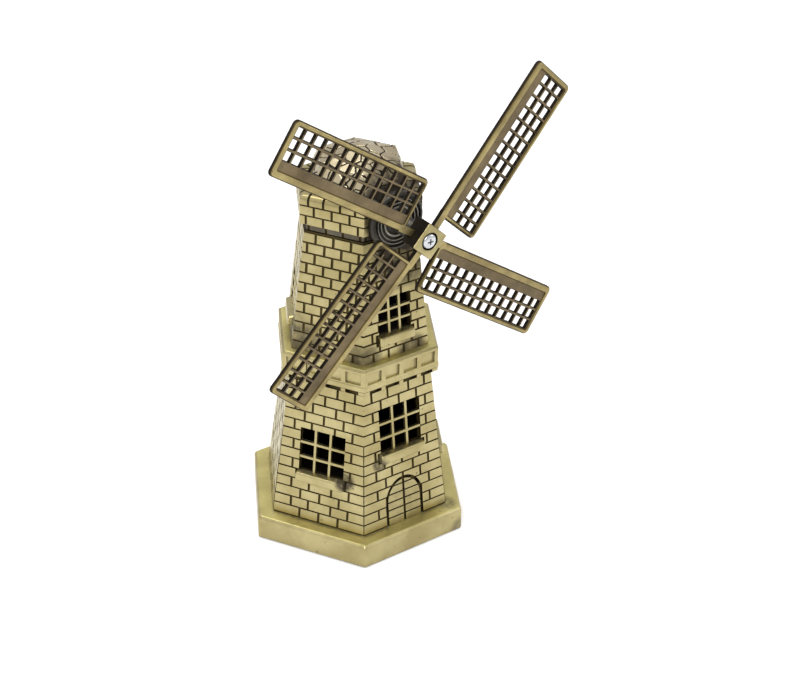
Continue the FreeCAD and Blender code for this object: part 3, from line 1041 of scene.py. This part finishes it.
def rounded_outline(patch, corner):
    """Points round a rectangle with rounded corners."""
    centres = (
        (patch.right - corner, patch.high - corner), (patch.left + corner, patch.high - corner),
        (patch.left + corner, patch.low + corner), (patch.right - corner, patch.low + corner),
    )
    steps = 6
    points = []
    for k, (x, z) in enumerate(centres):
        for step in range(steps + 1):
            angle = math.pi / 2 * (k + step / steps)
            points.append(Vector((x + corner * math.cos(angle), 0, z + corner * math.sin(angle))))
    return points


def add_rim(mesh, outer, inner, thickness):
    """Frame between two rectangles, its front a bead that is rounder on the outside."""
    outside = rounded_outline(outer, 1.3 * MM)
    inside = rounded_outline(inner, 0.25 * MM)
    inward = [(q - p).normalized() for p, q in zip(outside, inside)]
    bead, inner_bead, lip = 0.8 * MM, 0.6 * MM, 0.2 * MM
    profile = []
    for angle in quarter_turn(5):
        profile.append((outside, bead * (1 - math.cos(angle)), bead * (1 - math.sin(angle))))
    for angle in quarter_turn(4):
        profile.append((inside, -inner_bead * (1 - math.sin(angle)), inner_bead * (1 - math.cos(angle))))
    profile += [(inside, 0, thickness), (outside, lip, thickness), (outside, 0, thickness - lip)]
    rings = []
    for line, inset, depth in profile:
        rings.append([p + d * inset + Vector((0, depth, 0)) for p, d in zip(line, inward)])
    add_frame(mesh, rings)


def add_lattice(mesh, opening, board, depths):
    """Plate across a sail's opening: a board along its leading side, and rows of tapering holes."""
    bar, end_column, rows, columns = 0.5 * MM, 2.75 * MM, 3, 13
    draft, lap = 0.2 * MM, 0.2 * MM
    row = (opening.high - board - opening.low + bar) / rows
    column = (opening.right - opening.left - 2 * end_column + bar) / (columns - 2)
    xs = [opening.left - lap, opening.left]
    for k in range(columns - 1):
        end = opening.left + end_column + k * column
        xs += [end - bar, end]
    xs += [opening.right, opening.right + lap]
    zs = [opening.low - lap, opening.low]
    for k in range(rows):
        end = opening.low + (k + 1) * row
        zs += [end - bar, end]
    zs[-1] = opening.high + lap
    verts = add_cells(mesh, xs, depths, zs, lambda i, j, k: i % 2 == 0 or k % 2 == 0)
    for (i, j, k), v in verts.items():
        if j == 1 and 0 < i < len(xs) - 1 and 0 < k < len(zs) - 1:
            v.co.x += draft if i % 2 else -draft
            v.co.z += draft if k % 2 else -draft


def sail(node):
    """A raised rim round a board and a three-row lattice, with the stem that plugs into the hub."""
    place = sail_place(node)
    local = [place.inverted() @ p for p in node_points(node)]
    thickness = max(p.y for p in local)
    leading, trailing = max(p.z for p in local), min(p.z for p in local)
    stem_end, tip = min(p.x for p in local), max(p.x for p in local)
    start = min(p.x for p in local if p.z < (leading + trailing) / 2)
    outer = grow(Patch(0, start, tip, trailing - 0.3 * MM, leading), 0.3 * MM)
    rim, stock, board = 1.4 * MM, 2.1 * MM, 2.3 * MM
    opening = Patch(0, outer.left + 1.2 * MM, outer.right - 1.6 * MM, outer.low + rim, outer.high - stock)
    stem_low, stem_high = opening.high + 0.2 * MM, outer.high - 0.05 * MM
    edge = bmesh.new()
    add_rim(edge, outer, opening, thickness)
    add_cells(edge, [stem_end, start + 1.4 * MM], [0.05 * MM, thickness - 0.05 * MM], [stem_low, stem_high],
              lambda i, j, k: True)
    edge = to_object(node + "_rim", edge)
    soften(edge, 0.3 * MM, segments=4, angle=60)

    def tone(face):
        flatness = abs(face.normal.y)
        return (flatness < 0.86) + (flatness < 0.5)

    paint(edge, (SAIL_BRASS, MORTAR, DARK), tone)
    plate = bmesh.new()
    add_lattice(plate, opening, board, [0.3 * MM, thickness - 0.02 * MM])
    plate = to_object(node + "_lattice", plate)
    soften(plate, 0.1 * MM)
    paint(plate, (BROWNED, DARK), lambda face: abs(face.normal.y) < 0.6)
    for piece in (edge, plate):
        piece.data.transform(place)
        install(piece, "rotor", "antique_brass", SAIL_BRASS)
    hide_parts(node)


def hub():
    """Square hub block with a round recess for the screw's head."""
    along = sail_place("sail_upper_right").to_3x3().col[0]
    turn = math.atan2(along.z, along.x)
    half = (HUB_HIGH.x - HUB_LOW.x) / (abs(math.cos(turn)) + abs(math.sin(turn))) / 2
    depth = HUB_HIGH.y - HUB_LOW.y
    mesh = bmesh.new()
    add_cells(mesh, [-half, half], [0, depth], [-half, half], lambda i, j, k: True)
    block = to_object("hub_block", mesh)
    bore, recess_depth = 2.3 * MM, 1.2 * MM
    steps = 64
    angles = [2 * math.pi * k / steps for k in range(steps)]
    ends = []
    for y in (-1 * MM, recess_depth):
        ends.append([Vector((bore * math.cos(a), y, bore * math.sin(a))) for a in angles])
    recess = bmesh.new()
    add_loft(recess, ends)
    carve(block, recess)
    soften(block, 0.32 * MM, segments=3)

    # The screw's recess takes the dark patina, and the block's side faces are painted dark as painted shade.
    def tone(face):
        in_recess = face.center.xz.length < bore and face.center.y > 0.2 * MM
        return in_recess or abs(face.normal.y) < 0.3

    paint(block, (MOTTLED_BRASS, DARK), tone)
    place = Matrix.Translation(Vector((0, HUB_LOW.y, AXIS.z))) @ Matrix.Rotation(turn, 4, Vector((0, -1, 0)))
    block.data.transform(place)
    install(block, "rotor", "antique_brass", MOTTLED_BRASS, "hub")


def hub_screw():
    """Domed pan head with a cross recess, on a plain shank."""
    low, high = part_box("hub_screw")
    front, end = -low.y, -high.y
    head, shank = 1.95 * MM, 1.25 * MM
    under_head = front - 1.3 * MM
    bulge, fullness = 0.75 * MM, 0.7
    profile = [(0, front)]
    for angle in quarter_turn(8)[1:]:
        fall = bulge * (1 - math.cos(angle) ** fullness)
        profile.append((head * math.sin(angle) ** fullness, front - fall))
    profile += [(head, under_head), (shank, under_head), (shank, end), (0, end)]
    mesh = bmesh.new()
    add_turned(mesh, profile, steps=64)
    screw = to_object("pan_head_screw", mesh)
    half_length, half_width = 1.15 * MM, 0.24 * MM
    cross = bmesh.new()
    for wide, tall in ((half_length, half_width), (half_width, half_length)):
        slot = []
        for share, depth in ((1.0, front + 1 * MM), (0.55, front - 0.9 * MM)):
            x, z = wide * share, tall * share
            slot.append([Vector((sx * x, -depth, AXIS.z + sz * z)) for sx, sz in SQUARE])
        add_loft(cross, slot)
    carve(screw, cross)
    soften(screw, 0.06 * MM, angle=35)
    install(screw, "tower", "plated_screw", PLATED, "hub_screw")


# ---- putting it together

random.seed(11)
brick_wall("lower", LOWER, LOWER_BRICKS, BRASS, with_door=True, seam_courses=SEAM_COURSES)
brick_wall("upper", UPPER, UPPER_BRICKS, UPPER_BRASS)
for grille in GRILLES:
    storey = LOWER if grille.startswith("lower") else UPPER
    glazing(storey, grille)
    window_sill(storey, grille.replace("grille", "sill"))
plank_door()
gallery_ring()
gallery_corbels()
cap_core()
cap_bricks()
shaft_housing()
dome()
plinth()
shaft_boss()
for node in [n for n in frame["nodes"] if n.startswith("sail_")]:
    sail(node)
hub()
hub_screw()
keep_cad_shape("felt_pad", FELT)
for node in ("tie_rod", "tie_rod_nut", "tie_rod_washer", "thrust_washer"):
    keep_cad_shape(node, PLATED)


# ---- floor, light and camera

def area_light(name, place, target, size, power, colour=(1, 1, 1)):
    """Square soft box aimed at a point."""
    lamp = bpy.data.lights.new(name, "AREA")
    lamp.shape = "SQUARE"
    lamp.size = size
    lamp.energy = power
    lamp.color = colour
    box = bpy.data.objects.new(name, lamp)
    box.location = place
    box.rotation_mode = "QUATERNION"
    box.rotation_quaternion = (Vector(target) - Vector(place)).to_track_quat("-Z", "Y")
    bpy.context.scene.collection.objects.link(box)


def floor():
    """Plain pale floor."""
    half = 3.0
    mesh = bmesh.new()
    mesh.faces.new([mesh.verts.new((half * x, half * y, 0)) for x, y in SQUARE])
    slab = to_object("floor", mesh)
    slab.data.materials.append(new_material("pale_floor", roughness=0.9, base_color=(0.9, 0.9, 0.9, 1))[0])


def studio():
    """White surround and three soft boxes, scaled to the ornament."""
    world = bpy.data.worlds.new("studio")
    bpy.context.scene.world = world
    world.use_nodes = True
    world.node_tree.nodes["Background"].inputs["Color"].default_value = (1, 1, 1, 1)
    world.node_tree.nodes["Background"].inputs["Strength"].default_value = 0.75
    tall = CAD_BOX[1].z
    centre = (0, 0, tall / 2)
    area_light("key", (-4 * tall, -3.5 * tall, 5 * tall), centre, 3 * tall, 6)
    area_light("fill", (4.5 * tall, -3 * tall, 3 * tall), centre, 3 * tall, 1.6)
    area_light("top", (0, 1 * tall, 6 * tall), centre, 3 * tall, 3)


def camera():
    """Three-quarter view from above, a little to the left of the door."""
    azimuth, elevation, roll = math.radians(-36.44), math.radians(30.63), math.radians(1.3)
    reach = PLINTH_HIGH.x
    distance = 15.243 * reach
    flat = math.cos(elevation)
    back = Vector((flat * math.sin(azimuth), -flat * math.cos(azimuth), math.sin(elevation)))
    level = Vector((math.cos(azimuth), math.sin(azimuth), 0))
    target = level * 0.359 * reach + Vector((0, 0, 1.593 * reach))
    data = bpy.data.cameras.new("camera")
    data.lens = 82.3
    data.sensor_width = 36
    eye = bpy.data.objects.new("camera", data)
    up = back.cross(level)
    right = level * math.cos(roll) + up * math.sin(roll)
    top = up * math.cos(roll) - level * math.sin(roll)
    turn = Matrix((right, top, back)).transposed().to_4x4()
    eye.matrix_world = Matrix.Translation(target + back * distance) @ turn
    bpy.context.scene.collection.objects.link(eye)
    bpy.context.scene.camera = eye


floor()
studio()
camera()
bpy.context.scene.view_settings.view_transform = "Standard"
